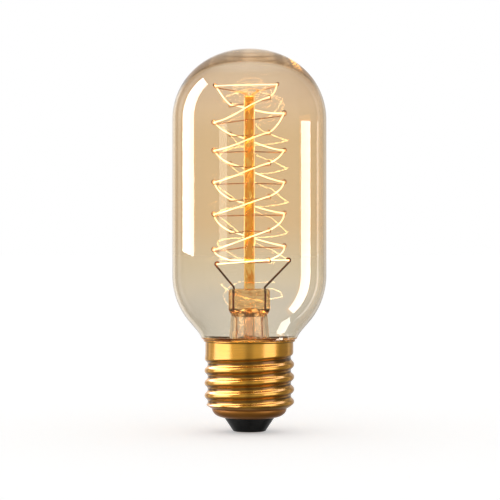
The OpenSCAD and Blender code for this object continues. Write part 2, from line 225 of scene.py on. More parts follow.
def noise(tree, vector, size, detail=3.0, warp=0.0):
    # soft spots of about this size in millimetres
    made = addNode(tree, "ShaderNodeTexNoise", Scale=1 / size, Detail=detail, Roughness=0.5, Distortion=warp)
    link(tree, vector, made.inputs["Vector"])
    return made.outputs["Fac"]


def parts(tree, vector):
    # X, Y and Z of a vector
    split = tree.nodes.new("ShaderNodeSeparateXYZ")
    link(tree, vector, split.inputs[0])
    return split.outputs


def heightFactor(tree, low, high):
    # 0 at the low height and 1 at the high one
    return share(tree, parts(tree, objectPoint(tree))["Z"], low, high)


def mixColour(tree, factor, first, second, how="MIX"):
    # the first colour turns into the second as the factor grows
    made = tree.nodes.new("ShaderNodeMix")
    made.data_type = "RGBA"
    made.blend_type = how
    for socket, value in ((made.inputs[0], factor), (made.inputs[6], first), (made.inputs[7], second)):
        if isinstance(value, (int, float)):
            socket.default_value = value
        elif isinstance(value, tuple):
            socket.default_value = (*value, 1)
        else:
            link(tree, value, socket)
    return made.outputs[2]


def bump(tree, height, depth):
    # depth in millimetres
    made = addNode(tree, "ShaderNodeBump", Strength=1.0, Distance=depth * mm)
    link(tree, height, made.inputs["Height"])
    return made.outputs["Normal"]


def lightPath(tree):
    return tree.nodes.new("ShaderNodeLightPath").outputs


def mixShaders(tree, factor, first, second):
    # the surface is the first shader where the factor is 0 and the second where it is 1
    mix = tree.nodes.new("ShaderNodeMixShader")
    for source, target in zip((factor, first.outputs[0], second.outputs[0]), mix.inputs):
        link(tree, source, target)
    link(tree, mix.outputs[0], tree.nodes["Material Output"].inputs["Surface"])


def letLightThrough(tree, shader, tint):
    # shadow rays pass the glass, so that what is inside it is lit
    clear = addNode(tree, "ShaderNodeBsdfTransparent", Color=tint)
    mixShaders(tree, lightPath(tree)["Is Shadow Ray"], shader, clear)


# the amber glass, closed from the crown to the seal in the cap

envelope = {
    "radius": 22.5, "wall": 0.9, "crownWall": 2.2, "top": 111.8, "crown": 21.0, "crownPower": 2.07,
    "innerCrownPower": 2.3,
    "bellyZ": 45.8, "bellyRadius": 21.2, "bellyTurn": 38.7,
    "neckArcX": 22.9, "neckArcRadius": 9.8, "neckTurn": 23.8, "innerNeckTurn": 25.3,
    "seatZ": 27.03, "collarRound": 0.55, "neckRadius": 11.95, "neckFillet": 0.35, "neckLow": 24.4,
    "taper": 1.8, "sealZ": 19.4, "sealRadius": 11.1, "sealRound": 1.1, "sealLand": 2.4, "turns": 176,
    "ior": 1.48, "roughness": 0.0, "waveSize": 16.0, "waveSquash": 0.45, "waveDepth": 0.05,
    "tintSpan": (27.0, 111.8),
    "tints": [(0.0, (0.83, 0.79, 0.70)), (0.12, (0.82, 0.77, 0.68)), (0.25, (0.82, 0.74, 0.60)),
              (0.4, (0.84, 0.70, 0.51)), (0.7, (0.84, 0.70, 0.51)), (0.85, (0.87, 0.74, 0.59)),
              (0.945, (0.87, 0.75, 0.60)), (0.985, (0.94, 0.89, 0.82))],
    "body": (0.6, 0.36, 0.06), "density": 25.0, "mirrorTint": (1.0, 0.9, 0.73),
    "shadowTint": (0.93, 0.87, 0.76),
}


def envelopeOutline(e):
    # crown: a superellipse; belly and neck: arcs; foot: collar on the rim, neck and seal in the cap
    def crown(inset, thick, power):
        a = np.radians(np.linspace(90, 0, 61))
        r = (e["radius"] - inset) * np.cos(a).clip(0) ** (2 / power)
        return np.stack([r, e["top"] - e["crown"] + (e["crown"] - thick) * np.sin(a) ** (2 / power)], -1)

    def belly(inset):
        centre = (e["radius"] - e["bellyRadius"], e["bellyZ"])
        return arc(centre, e["bellyRadius"] - inset, 0, -e["bellyTurn"], 28)

    def neck(inset, stop):
        lift = e["collarRound"] * (1 - math.sin(math.radians(e["neckTurn"])))
        z = e["seatZ"] + lift - e["neckArcRadius"] * math.sin(math.radians(e["neckTurn"]))
        return arc((e["neckArcX"], z), e["neckArcRadius"] + inset, 180 - e["bellyTurn"], 180 - stop, 12)

    w, low, neckR, seat, seal = e["wall"], e["neckLow"], e["neckRadius"], e["seatZ"], e["sealZ"]
    collarX = e["neckArcX"] - (e["neckArcRadius"] + e["collarRound"]) * math.cos(math.radians(e["neckTurn"]))
    rimR = e["sealRadius"] - w
    # down the outside to the seal and up the inside, with small steps that keep the wall about even
    foot = np.concatenate([
        arc((collarX, seat + e["collarRound"]), e["collarRound"], -e["neckTurn"], -90, 8),
        arc((neckR + e["neckFillet"], seat - e["neckFillet"]), e["neckFillet"], 90, 180, 5),
        [[neckR, low], [e["sealRadius"] + 0.1, low - e["taper"]]],
        arc((e["sealRadius"] - e["sealRound"], seal + e["sealRound"]), e["sealRound"], 0, -90, 6),
        [[rimR - 0.6, seal], [rimR, seal + 0.5], [rimR, seal + e["sealLand"]], [neckR - w, low - 0.6],
         [neckR - w, seat - 0.7], [neckR - w + 0.35, seat + 0.2], [neckR + 0.25, seat + w - 0.08]],
    ])
    wallZ = np.linspace(e["top"] - e["crown"], e["bellyZ"], 32)[1:-1]
    straight = lambda inset: np.stack([np.full(len(wallZ), e["radius"] - inset), wallZ], -1)
    outer = np.concatenate([crown(0, 0, e["crownPower"]), straight(0), belly(0), neck(0, e["neckTurn"])])
    inner = np.concatenate([crown(w, e["crownWall"], e["innerCrownPower"]), straight(w), belly(w),
                            neck(w, e["innerNeckTurn"])])
    return np.concatenate([outer, foot, inner[::-1]])


def amberGlass(e):
    # clear glass, tinted by height, with long shallow waves
    material, tree, shader = newMaterial("amberGlass")
    setInputs(shader, Transmission_Weight=1.0, Roughness=e["roughness"], IOR=e["ior"],
              Specular_Tint=e["mirrorTint"])
    link(tree, ramp(tree, heightFactor(tree, *e["tintSpan"]), e["tints"]), shader.inputs["Base Color"])
    waves = noise(tree, objectPoint(tree, (1, 1, e["waveSquash"])), e["waveSize"], detail=1.0)
    link(tree, bump(tree, waves, e["waveDepth"]), shader.inputs["Normal"])
    # the glass itself is faintly stained, which shows where light runs a long way in it
    stain = addNode(tree, "ShaderNodeVolumeAbsorption", Color=e["body"], Density=e["density"])
    link(tree, stain.outputs[0], tree.nodes["Material Output"].inputs["Volume"])
    letLightThrough(tree, shader, e["shadowTint"])
    return material


addPiece(revolve("glassEnvelope", envelopeOutline(envelope), envelope["turns"], 50),
         amberGlass(envelope), "amber_glass", "bulb_glass")
print("glass envelope done")


# the filament: a fine coil carried along two spiral strands

cage = {
    "evenRadius": 10.7, "oddRadius": 11.4, "topReach": (0.97, 0.8), "top": 101.2, "drop": 4.64, "levels": 12,
    "strandSteps": 24,
    "evenBearing": 197, "oddBearing": 120, "bowTop": 0.1, "bowFoot": 0.6, "sag": 0.5,
    "tipLift": np.array([[-0.5, 0.5], [-0.7, 0.1], [1.2, -1.8], [-0.5, 0.3], [-0.7, -0.3], [0.8, 0],
                         [-0.3, -0.6], [-0.3, -0.5], [-0.6, -0.2], [-0.8, -0.7], [-0.5, -1.6], [0.1, -0.1]]),
    "tips": [(-9.4, 49.0), (11.4, 50.1)], "endRun": 1.2, "endFree": 0.8,
    "coilRadius": 0.155, "wireRadius": 0.045, "pitch": 0.17, "pointsATurn": 8, "sides": 4, "softCorner": 0.28,
    "metal": (0.35, 0.3, 0.26), "roughness": 0.4, "hotStrength": 1.85, "mirrored": 14.0, "shimmerSize": 5.0,
    "glow": [(0.3, (1.0, 0.76, 0.40)), (0.55, (1.0, 0.82, 0.50)), (0.75, (1.0, 0.87, 0.58))],
}


def bearingOf(c, level, strand):
    # two bearings in turn, half a circle on at every second level; the strands are half a circle apart
    return (c["evenBearing"] - 180 * np.floor(level / 2)
            - (level % 2) * (c["evenBearing"] - c["oddBearing"]) - 180 * strand)


def reachOf(c, level, strand):
    # the top pair reaches less far than the other even pairs
    level = np.asarray(level)
    r = np.where(level % 2 == 0, c["evenRadius"], c["oddRadius"])
    return np.where(level == 0, r * c["topReach"][strand], r)


def hookPoint(c, level, strand):
    # where a strand turns over a support wire's eye
    b = np.radians(bearingOf(c, level, strand))
    r = reachOf(c, level, strand)
    z = c["top"] - c["drop"] * level + c["tipLift"][level][strand]
    return np.array([r * np.cos(b), r * np.sin(b), z])


def strandLine(c, strand):
    # between two hooks the radius follows the chord, bowed part of the way out to the circle;
    # the bow grows towards the foot, and the long strands sag as well
    steps = c["strandSteps"]
    level = np.repeat(np.arange(c["levels"] - 1), steps)
    t = np.tile(np.arange(steps) / steps, c["levels"] - 1)
    a, b = bearingOf(c, level, strand), bearingOf(c, level + 1, strand)
    turn = a + (b - a) * t
    chord = np.cos(np.radians((a - b) / 2)) / np.cos(np.radians(turn - (a + b) / 2))
    reach = reachOf(c, level, strand) * (1 - t) + reachOf(c, level + 1, strand) * t
    bow = c["bowTop"] + (c["bowFoot"] - c["bowTop"]) * level / (c["levels"] - 2)
    r = reach * (chord + (1 - chord) * bow)
    lift = c["tipLift"][:, strand]
    z = c["top"] - c["drop"] * (level + t) + lift[level] * (1 - t) + lift[level + 1] * t
    z -= (level % 2) * c["sag"] * 4 * t * (1 - t)
    return np.stack([r * np.cos(np.radians(turn)), r * np.sin(np.radians(turn)), z], -1)


def filamentLine(c):
    # lead, first strand upwards, bridge over the rod, second strand downwards, lead
    def tail(strand, side):
        e = np.array([c["tips"][strand][0], 0, c["tips"][strand][1]])
        along = np.array([0, side, 0])
        near = e - c["endRun"] * along
        h = hookPoint(c, c["levels"] - 1, strand)
        run = h + (near - h) * (np.arange(12) / 12)[:, None]
        last = [near + [side * c["endRun"] / 8, 0, 0], e - along * c["endRun"] / 2,
                e + along * c["endFree"] / 3, e + along * c["endFree"]]
        return np.concatenate([run, last])

    a, b = hookPoint(c, 0, 0), hookPoint(c, 0, 1)
    bridge = a + (b - a) * (np.arange(1, 20) / 20)[:, None]
    return np.concatenate([tail(0, 1)[::-1], strandLine(c, 0)[::-1], bridge, strandLine(c, 1), tail(1, -1)])


def evenly(line, step):
    # the same line with its points a fixed step apart
    s = np.concatenate([[0], np.cumsum(np.linalg.norm(np.diff(line, axis=0), axis=1))])
    along = np.linspace(0, s[-1], max(2, int(s[-1] / step)))
    return np.stack([np.interp(along, s, line[:, k]) for k in range(3)], -1), along


def softened(line, reach):
    # each point becomes the mean of its neighbours, which rounds the corners
    kernel = np.ones(2 * reach + 1) / (2 * reach + 1)
    padded = np.pad(line, ((reach, reach), (0, 0)), mode="edge")
    return np.stack([np.convolve(padded[:, k], kernel, "valid") for k in range(3)], -1)


def frameAlong(line):
    # the level side and the up that stand square to a line, at every point of it
    t = np.gradient(line, axis=0)
    t /= np.linalg.norm(t, axis=1, keepdims=True)
    side = np.cross(t, [0, 0, 1])
    side /= np.linalg.norm(side, axis=1, keepdims=True)
    return side, np.cross(side, t)


def tubeGrid(line, radius, sides):
    # a circle of so many sides, carried along a line and drawn in to a point at both ends
    side, up = frameAlong(line)
    a = np.radians(np.arange(sides) * 360 / sides)[None, :, None]
    rings = line[:, None] + radius * (np.cos(a) * side[:, None] + np.sin(a) * up[:, None])
    caps = [np.repeat(line[k][None, None], sides, 1) for k in (0, -1)]
    return np.concatenate([caps[0], rings, caps[1]])


def coilLine(c):
    # the wire winds round the strand's line at the coil's radius, once in every pitch
    line, along = evenly(filamentLine(c), c["pitch"] / c["pointsATurn"])
    line = softened(line, int(c["softCorner"] * c["pointsATurn"] / c["pitch"]))
    side, up = frameAlong(line)
    a = 2 * np.pi * along[:, None] / c["pitch"]
    return line + c["coilRadius"] * (np.cos(a) * side + np.sin(a) * up)


def hotWire(c):
    # hot metal whose glow changes a little along its length
    material, tree, shader = newMaterial("hotTungsten")
    setInputs(shader, Base_Color=c["metal"], Metallic=1.0, Roughness=c["roughness"],
              Emission_Strength=c["hotStrength"])
    glow = ramp(tree, noise(tree, objectPoint(tree), c["shimmerSize"], detail=2.0), c["glow"])
    # its mirror images in the glass keep more of its real brightness
    level = plus(tree, times(tree, past(tree, lightPath(tree)["Glossy Depth"]), c["mirrored"]), 1.0)
    link(tree, mixColour(tree, 1.0, glow, level, "MULTIPLY"), shader.inputs["Emission Color"])
    return material


coil = coilLine(cage)
wireGrid = tubeGrid(coil, cage["wireRadius"], cage["sides"])
addPiece(gridMesh("spiralFilament", wireGrid, wrapU=False, sharp=180), hotWire(cage), "filament", "filament")
print("filament done:", len(coil), "points")


# support wires, leads and the wires sealed in the press

wires = {
    "grainSize": 0.9, "drawnSize": 0.08, "drawnDepth": 0.01,
    "metals": [
        {"name": "molybdenumWire", "dresses": "support_wire_", "colour": (0.30, 0.12, 0.05),
         "worn": (0.48, 0.24, 0.11), "roughness": 0.42,
         # the next four values paint a glow on the roots of the top pair, where the filament's light comes
         # through the bead
         "litRoot": (0.9, 0.55, 0.26), "litReach": 4.2, "litFade": 1.0, "litGlow": 0.35, "beadHeight": 99.6},
        {"name": "oxidisedNickel", "dresses": "inner_lead_", "colour": (0.07, 0.02, 0.006),
         "worn": (0.17, 0.05, 0.018), "roughness": 0.5},
        {"name": "sealingWire", "dresses": "seal_wire_", "colour": (0.18, 0.03, 0.014),
         "worn": (0.32, 0.07, 0.03), "roughness": 0.45},
        {"name": "copperWire", "dresses": "outer_lead_", "colour": (0.45, 0.17, 0.08),
         "worn": (0.6, 0.3, 0.16), "roughness": 0.35},
    ],
}


def wireMaterial(w):
    # drawn wire with a fine grain in its colour
    material, tree, shader = newMaterial(w["name"])
    grain = noise(tree, objectPoint(tree), wires["grainSize"], detail=4.0)
    colour = ramp(tree, grain, [(0.35, w["colour"]), (0.7, w["worn"])])
    if "litRoot" in w:
        # painted glow: the roots of the top pair, where the filament's light comes through the bead, are made
        # paler and given a faint emission
        away = addNode(tree, "ShaderNodeVectorMath")
        away.operation = "DISTANCE"
        away.inputs[1].default_value = (0, 0, w["beadHeight"])
        link(tree, objectPoint(tree), away.inputs[0])
        root = share(tree, away.outputs["Value"], w["litReach"] + w["litFade"], w["litReach"])
        colour = mixColour(tree, root, colour, w["litRoot"])
        link(tree, mixColour(tree, root, (0, 0, 0), w["litRoot"]), shader.inputs["Emission Color"])
        setInputs(shader, Emission_Strength=w["litGlow"])
    link(tree, colour, shader.inputs["Base Color"])
    setInputs(shader, Metallic=1.0, Roughness=w["roughness"])
    drawn = noise(tree, objectPoint(tree, (1, 1, 0.1)), wires["drawnSize"])
    link(tree, bump(tree, drawn, wires["drawnDepth"]), shader.inputs["Normal"])
    return material


for w in wires["metals"]:
    wire = wireMaterial(w)
    for nodeName in [n for n in nodes if n.startswith(w["dresses"])]:
        dressNode(nodeName, wire)
print("wires dressed")


# the glass rod and the bead melted on its end

rod = {
    "radius": 1.6, "low": 41.3, "high": 97.8, "turns": 64,
    "beadRadius": 3.6, "beadLow": 97.4, "beadHigh": 99.9, "beadTurns": 96, "socket": 0.4,
    "beadDome": [(1.4, 0.18), (0, 0.25)],  # how far it bulges over beadHigh, at these radii
    "tint": (0.93, 0.46, 0.035), "lowTint": (0.93, 0.61, 0.24), "lowSpan": (42, 56),
    "streak": (0.99, 0.76, 0.28), "streakSize": 1.3, "darkStreak": (0.80, 0.30, 0.025), "darkSize": 0.9,
    "slantSquash": 0.3, "slantTurn": 24, "ior": 1.45, "roughness": 0.03, "shadowTint": (0.95, 0.8, 0.6),
    "sheen": [(0.18, (0.03, 0.015, 0.0)), (0.28, (0.25, 0.14, 0.03)), (0.4, (1.0, 0.86, 0.56))],
    "edgeBlend": 0.35, "sheenLow": 0.2, "sheenHigh": 0.7,
}


def rodGlass(r):
    # gold glass, its colour partly its own and partly painted glow: deeper above, where the filament is, and
    # paler towards the foot, with slanted pale and dark streaks that paint the filament's mottled light in
    # it; its edges get a painted glow of the filament's light, less so at the foot
    material, tree, shader = newMaterial("litRodGlass")
    up = heightFactor(tree, *r["lowSpan"])
    slant = objectPoint(tree, (1, 1, r["slantSquash"]), (0, r["slantTurn"], 0))
    pale = ramp(tree, noise(tree, slant, r["streakSize"], detail=4.0, warp=0.5), [(0.46, 0), (0.58, 1)])
    dark = ramp(tree, noise(tree, slant, r["darkSize"], detail=3.0, warp=0.8), [(0.52, 0), (0.6, 1)])
    tint = ramp(tree, up, [(0.0, r["lowTint"]), (1.0, r["tint"])])
    streaked = mixColour(tree, dark, mixColour(tree, pale, tint, r["streak"]), r["darkStreak"])
    link(tree, streaked, shader.inputs["Base Color"])
    setInputs(shader, Transmission_Weight=1.0, Roughness=r["roughness"], IOR=r["ior"], Emission_Strength=1.0)
    # painted highlight: the edges glow by emission, brighter the more they turn from view
    edge = addNode(tree, "ShaderNodeLayerWeight", Blend=r["edgeBlend"])
    sheen = ramp(tree, edge.outputs["Facing"], r["sheen"])
    strength = ramp(tree, up, [(0.0, r["sheenLow"]), (1.0, r["sheenHigh"])])
    link(tree, mixColour(tree, 1.0, sheen, strength, "MULTIPLY"), shader.inputs["Emission Color"])
    letLightThrough(tree, shader, r["shadowTint"])
    return material


def rodOutline(r):
    # a plain rod, its upper end a little inside the bead
    return np.array([[0, r["low"]], [r["radius"], r["low"]]]
                    + [[r["radius"], z] for z in np.linspace(r["low"] + 0.5, r["high"] - 0.5, 40)]
                    + [[r["radius"], r["high"]], [0, r["high"]]])


def beadOutline(r):
    # a flattened melted drop with a socket for the rod: round at its edge, nearly flat above and below
    low, high = r["beadLow"], r["beadHigh"]
    mid, half = (low + high) / 2, (high - low) / 2
    edge = arc((r["beadRadius"] - half, mid), half, -90, 90, 24)
    socket = [[0, low + r["socket"]], [r["radius"], low + r["socket"]], [r["radius"], low]]
    return np.concatenate([socket, edge, [[x, high + rise] for x, rise in r["beadDome"]]])


addPiece(revolve("glassRod", rodOutline(rod), rod["turns"]), rodGlass(rod), "rod_glass", "support_rod")
print("rod done")


# the stem: flare tube, press and exhaust tube

stem = {
    "flareTop": 33.8, "flareTopRadius": 5.3, "wall": 1.0, "waistZ": 28.0, "waistRadius": 5.85,
    "rimRadius": 10.2, "sealZ": 19.4, "rimLand": 0.5, "flareTurns": 128,
    "pressTop": 41.8, "pressHalf": 6.05, "pressThick": 2.2, "pressRound": 1.1, "shoulderZ": 35.9,
    "pressPower": 4.2, "pressTurns": 200,
    "slotHalf": 4.95, "slotThick": 0.75, "slotMid": 36.2, "slotSide": 33.9,
    "holeZ": 36.4, "holeRadius": 0.8, "holeDepth": 1.2, "holeSlope": 0.6, "holeLip": 0.3, "lipOut": 0.75,
    "exhaustRadius": 1.6, "exhaustBore": 1.0, "exhaustTop": 35.4, "exhaustTip": 11.0, "exhaustTurns": 64,
    "tintSpan": (27, 42), "shadowTint": (0.96, 0.9, 0.8),
    # the three glasses: colour by height, and the size, squash and depth of the waves that the melting left;
    # the golden upper tints of the tube and the press are painted light from the filament above
    "tube": {"name": "stemGlass", "ior": 1.5, "waves": (3.2, 1.4, 0.16),
             "tints": [(0.0, (0.96, 0.87, 0.80)), (0.42, (0.97, 0.86, 0.76)), (0.55, (0.96, 0.73, 0.46)),
                       (1.0, (0.96, 0.73, 0.44))]},
    "bead": {"name": "beadGlass", "ior": 1.25, "waves": (2.4, 1.0, 0.1),
             "tints": [(0.0, (0.98, 0.93, 0.85)), (1.0, (0.99, 0.95, 0.88))]},
    "press": {"name": "pressGlass", "ior": 1.5, "waves": (3.0, 2.2, 0.2),
              "tints": [(0.0, (0.96, 0.80, 0.60)), (0.5, (0.95, 0.69, 0.37)), (1.0, (0.96, 0.68, 0.35))]},
    # painted shade on the press: the colours of its side edges, of the lines along its waves, and of the arch
    # line and the crescent under the blow hole
    "edge": (0.45, 0.20, 0.06), "edgeShadeIn": 5.2, "edgeShadeFade": 0.6,
    "waveShade": (0.62, 0.30, 0.09), "waveSize": 1.5, "waveStretch": (0.25, 0.25, 1.1),
    "waveLine": [(0.5, 0), (0.55, 1), (0.6, 0)],
    "shadeLine": (0.11, 0.02, 0.005), "shadeLineHalf": 0.5, "shadeLineClear": 2.1,
    "shadeRadius": 2.2, "shadeHalf": 0.7, "shadeBelow": 0.6, "shadeRise": 2.0,
}


def stemGlass(s, glass):
    # clear glass, tinted by height and rippled; where the tint turns golden towards the top, it is painted
    # light from the filament
    material, tree, shader = newMaterial(glass["name"])
    link(tree, ramp(tree, heightFactor(tree, *s["tintSpan"]), glass["tints"]), shader.inputs["Base Color"])
    setInputs(shader, Transmission_Weight=1.0, Roughness=0.0, IOR=glass["ior"])
    waveSize, squash, depth = glass["waves"]
    ripple = noise(tree, objectPoint(tree, (1, 1, squash)), waveSize, detail=1.5)
    link(tree, bump(tree, ripple, depth), shader.inputs["Normal"])
    letLightThrough(tree, shader, s["shadowTint"])
    return material


def paintPressShade(material, s):
    # painted shade on the press glass: a dark line where the hollow ends in its arch, a dark crescent under
    # the blow hole where the melted lip hangs, browner side edges, and dark lines along the long thin waves
    # that the pincers left; they stand in for the shade that the glass's bending of light makes there
    tree = material.node_tree
    base = tree.nodes["Principled BSDF"].inputs["Base Color"]
    tint = base.links[0].from_socket
    x, _, z = parts(tree, objectPoint(tree))

    def lineAt(away, half):
        # one less the distance as a share of the half width
        return minus(tree, 1.0, maths(tree, "DIVIDE", unsigned(tree, away), half), clamp=True)

    bend = (s["slotMid"] - s["slotSide"]) / s["slotHalf"] ** 2
    arch = minus(tree, s["slotMid"], times(tree, times(tree, x, x), bend))
    aside = unsigned(tree, x)
    shadeLine = times(tree, lineAt(minus(tree, z, arch), s["shadeLineHalf"]), past(tree, aside, s["shadeLineClear"]))
    down = minus(tree, s["holeZ"], z)
    holeShade = lineAt(minus(tree, distance(tree, x, down), s["shadeRadius"]), s["shadeHalf"])
    below = times(tree, minus(tree, down, s["shadeBelow"]), s["shadeRise"], clamp=True)
    grain = noise(tree, objectPoint(tree, s["waveStretch"]), s["waveSize"], detail=2.0, warp=0.6)
    waves = ramp(tree, grain, s["waveLine"])
    rim = share(tree, aside, s["edgeShadeIn"], s["edgeShadeIn"] + s["edgeShadeFade"])
    edged = mixColour(tree, rim, mixColour(tree, waves, tint, s["waveShade"]), s["edge"])
    dark = maths(tree, "MAXIMUM", shadeLine, times(tree, holeShade, below))
    link(tree, mixColour(tree, dark, edged, s["shadeLine"]), base)


def flareOutline(s):
    # the tube's wall runs down and turns out to the sealed rim in a quarter of an ellipse
    a = np.radians(np.linspace(0, 90, 25))
    out = s["rimRadius"] - s["waistRadius"]
    drop = s["waistZ"] - s["sealZ"] - s["wall"] - s["rimLand"]
    outer = np.stack([s["waistRadius"] + out * (1 - np.cos(a)), s["waistZ"] - drop * np.sin(a)], -1)
    normal = np.stack([drop * np.cos(a), out * np.sin(a)], -1)
    inner = outer - s["wall"] * normal / np.linalg.norm(normal, axis=1, keepdims=True)
    upper = np.linspace([s["flareTopRadius"], s["flareTop"]], [s["waistRadius"], s["waistZ"]], 14)[:-1]
    return np.concatenate([upper, outer, inner[::-1], (upper - [s["wall"], 0])[::-1]])


def pressGrid(s):
    # rings of a superellipse: round where it leaves the flare, then flat and square, closed at the top;
    # the same below for the hollow, which ends in an arch
    turns = s["pressTurns"]
    u = np.linspace(0, 2 * np.pi, 16 * turns + 1)
    c, d = np.cos(u), np.sin(u)

    def ring(halfX, halfY, power, z):
        # points an even step apart along the superellipse
        x = np.sign(c) * np.abs(c) ** (2 / power) * halfX
        y = np.sign(d) * np.abs(d) ** (2 / power) * halfY
        run = np.concatenate([[0], np.cumsum(np.hypot(np.diff(x), np.diff(y)))])
        along = np.arange(turns) * (run[-1] + 1e-9) / turns
        return np.stack([np.interp(along, run, x), np.interp(along, run, y), np.full(turns, float(z))], -1)

    def dented(ringPoints):
        # the blow hole: a round pit with a melted lip, in the face towards -Y
        p = ringPoints.copy()
        away = np.hypot(p[:, 0], p[:, 2] - s["holeZ"])
        pit = s["holeDepth"] * (1 - ease((away - s["holeRadius"]) / s["holeSlope"] + 0.5))
        lip = s["holeLip"] * np.exp(-((away - s["holeRadius"] - s["lipOut"]) / 0.3) ** 2)
        p[:, 1] += np.where(p[:, 1] < -1.0, pit - lip, 0)
        return p

    def arched(ringPoints, g):
        # part of the way from the flare's top to the arch, which falls with the square of x
        p = ringPoints.copy()
        top = s["slotMid"] - (s["slotMid"] - s["slotSide"]) * (np.abs(p[:, 0]) / s["slotHalf"]) ** 2
        p[:, 2] = s["flareTop"] + (top - s["flareTop"]) * g
        return p

    flareR, power, bend = s["flareTopRadius"], s["pressPower"], s["pressRound"]
    topX, topY = s["pressHalf"] - bend, s["pressThick"] - 0.9 * bend
    body = [ring(flareR + (s["pressHalf"] - flareR) * ease(g), flareR + (s["pressThick"] - flareR) * ease(g),
                 2 + (power - 2) * ease(g), s["flareTop"] + (s["shoulderZ"] - s["flareTop"]) * g)
            for g in np.linspace(0, 1, 16)]
    body += [ring(s["pressHalf"], s["pressThick"], power, z)
             for z in np.linspace(s["shoulderZ"], s["pressTop"] - bend, 50)[1:]]
    for a in np.radians(np.linspace(10, 90, 9)):
        inset = bend * (1 - np.cos(a))
        body.append(ring(s["pressHalf"] - inset, s["pressThick"] - inset * 0.9, power,
                         s["pressTop"] - bend * (1 - np.sin(a))))
    body = [dented(r) for r in body]
    body += [ring(topX * k, topY * k, power, s["pressTop"]) for k in (0.8, 0.4, 0.0)]
    inR, slotX, slotY = flareR - s["wall"], s["slotHalf"], s["slotThick"]
    hollow = [arched(ring(inR + (slotX - inR) * ease(g), inR + (slotY - inR) * ease(g), 2 + ease(g), 0), g)
              for g in np.linspace(0, 1, 16)]
    hollow += [arched(ring(slotX * k, slotY * k, 3, 0), 1) for k in (0.75, 0.5, 0.25, 0.0)]
    return np.stack(hollow[::-1] + body)


def exhaustOutline(s):
    # down the outside to the closed tip, then up the bore
    r, b, t, h = s["exhaustRadius"], s["exhaustBore"], s["exhaustTip"], s["exhaustTop"]
    return np.array([[b, h], [r, h], [r, t + 3], [r - 0.35, t + 1.6], [0.7, t + 0.5], [0, t],
                     [0, t + 1.6], [0.5, t + 2.2], [b, t + 3.4]])


clearStem = stemGlass(stem, stem["tube"])
pressGlass = stemGlass(stem, stem["press"])
paintPressShade(pressGlass, stem)
addPiece(revolve("rodBead", beadOutline(rod), rod["beadTurns"], 60), stemGlass(stem, stem["bead"]),
         "rod_glass", "rod_bead")
addPiece(revolve("flareTube", flareOutline(stem), stem["flareTurns"]), clearStem, "stem_glass", "stem_flare")
addPiece(gridMesh("stemPress", pressGrid(stem), wrapU=False), pressGlass, "stem_glass", "stem_press")
addPiece(revolve("exhaustTube", exhaustOutline(stem), stem["exhaustTurns"]), clearStem,
         "stem_glass", "exhaust_tube")
print("stem done")


# the brass screw shell, from its mouth to the rolled rim

shell = {
    "threadDiameter": 26.2, "rootDiameter": 24.3, "pitch": 3.629, "skirtDiameter": 25.7, "rimDiameter": 26.8,
    "rimTop": 27.0, "wall": 0.3, "low": 4.35, "mouth": 7.4, "shoulderZ": 6.9, "shoulderRadius": 10.9,
    "ledgeZ": 8.2, "ledgeRun": 0.6, "crestZ": 8.85, "runOut": 1310, "runOutFade": 60,
    "skirtBlendZ": 20.5, "skirtBlend": 2.5, "lipZ": 26.3, "lipRound": 0.31, "lipFlare": 0.36,
    "turns": 200, "rows": 96,
    "brass": (0.92, 0.43, 0.045), "pale": (0.95, 0.52, 0.09), "cloudSize": 6.0,
    # the darker, browner lower end is painted shade of the dark below; its rougher finish is the surface's
    # own
    "shoulderShade": (0.56, 0.22, 0.035), "lowSpan": (4.3, 9), "shoulderShading": [(0.0, 1), (0.62, 0.85), (0.78, 0)],
    # the groove colour is painted shade in the thread's hollows and under its crests
    "groove": (0.20, 0.085, 0.012), "grooveShadeSpan": (0.09, 0.005), "underCrestShadeSpan": (-0.45, -0.75),
    "lineStretch": (0.12, 0.12, 9), "lineTint": (0.86, 0.82, 0.76), "lineDepth": 0.012,
    "sheen": [(0.3, 0.15), (0.7, 0.26)], "lowSheen": (0.46, 0.46, 0.46),
    "coat": 0.3, "coatRoughness": 0.1, "coatIor": 1.5,
}


def threadRadius(b, turn, z):
    # two equal arcs a pitch, joined at the flank; the last groove fades out along the helix
    depth = (b["threadDiameter"] - b["rootDiameter"]) / 2
    bend = ((b["pitch"] / 4) ** 2 + (depth / 2) ** 2) / depth
    u = (z - b["crestZ"]) / b["pitch"] - turn / 360
    groove = np.floor(u)
    w = np.minimum(u - groove, 1 - (u - groove)) * b["pitch"]
    arcDrop = lambda d: bend - np.sqrt(np.maximum(bend ** 2 - d ** 2, 0))
    drop = np.where(w <= b["pitch"] / 4, arcDrop(w), depth - arcDrop(b["pitch"] / 2 - w))
    fade = ease((b["runOut"] - turn - 360 * (groove + 0.5)) / b["runOutFade"])
    top = b["threadDiameter"] / 2 + (b["skirtDiameter"] - b["threadDiameter"]) / 2 * ease(
        (z - b["skirtBlendZ"]) / b["skirtBlend"])
    return top - fade * drop


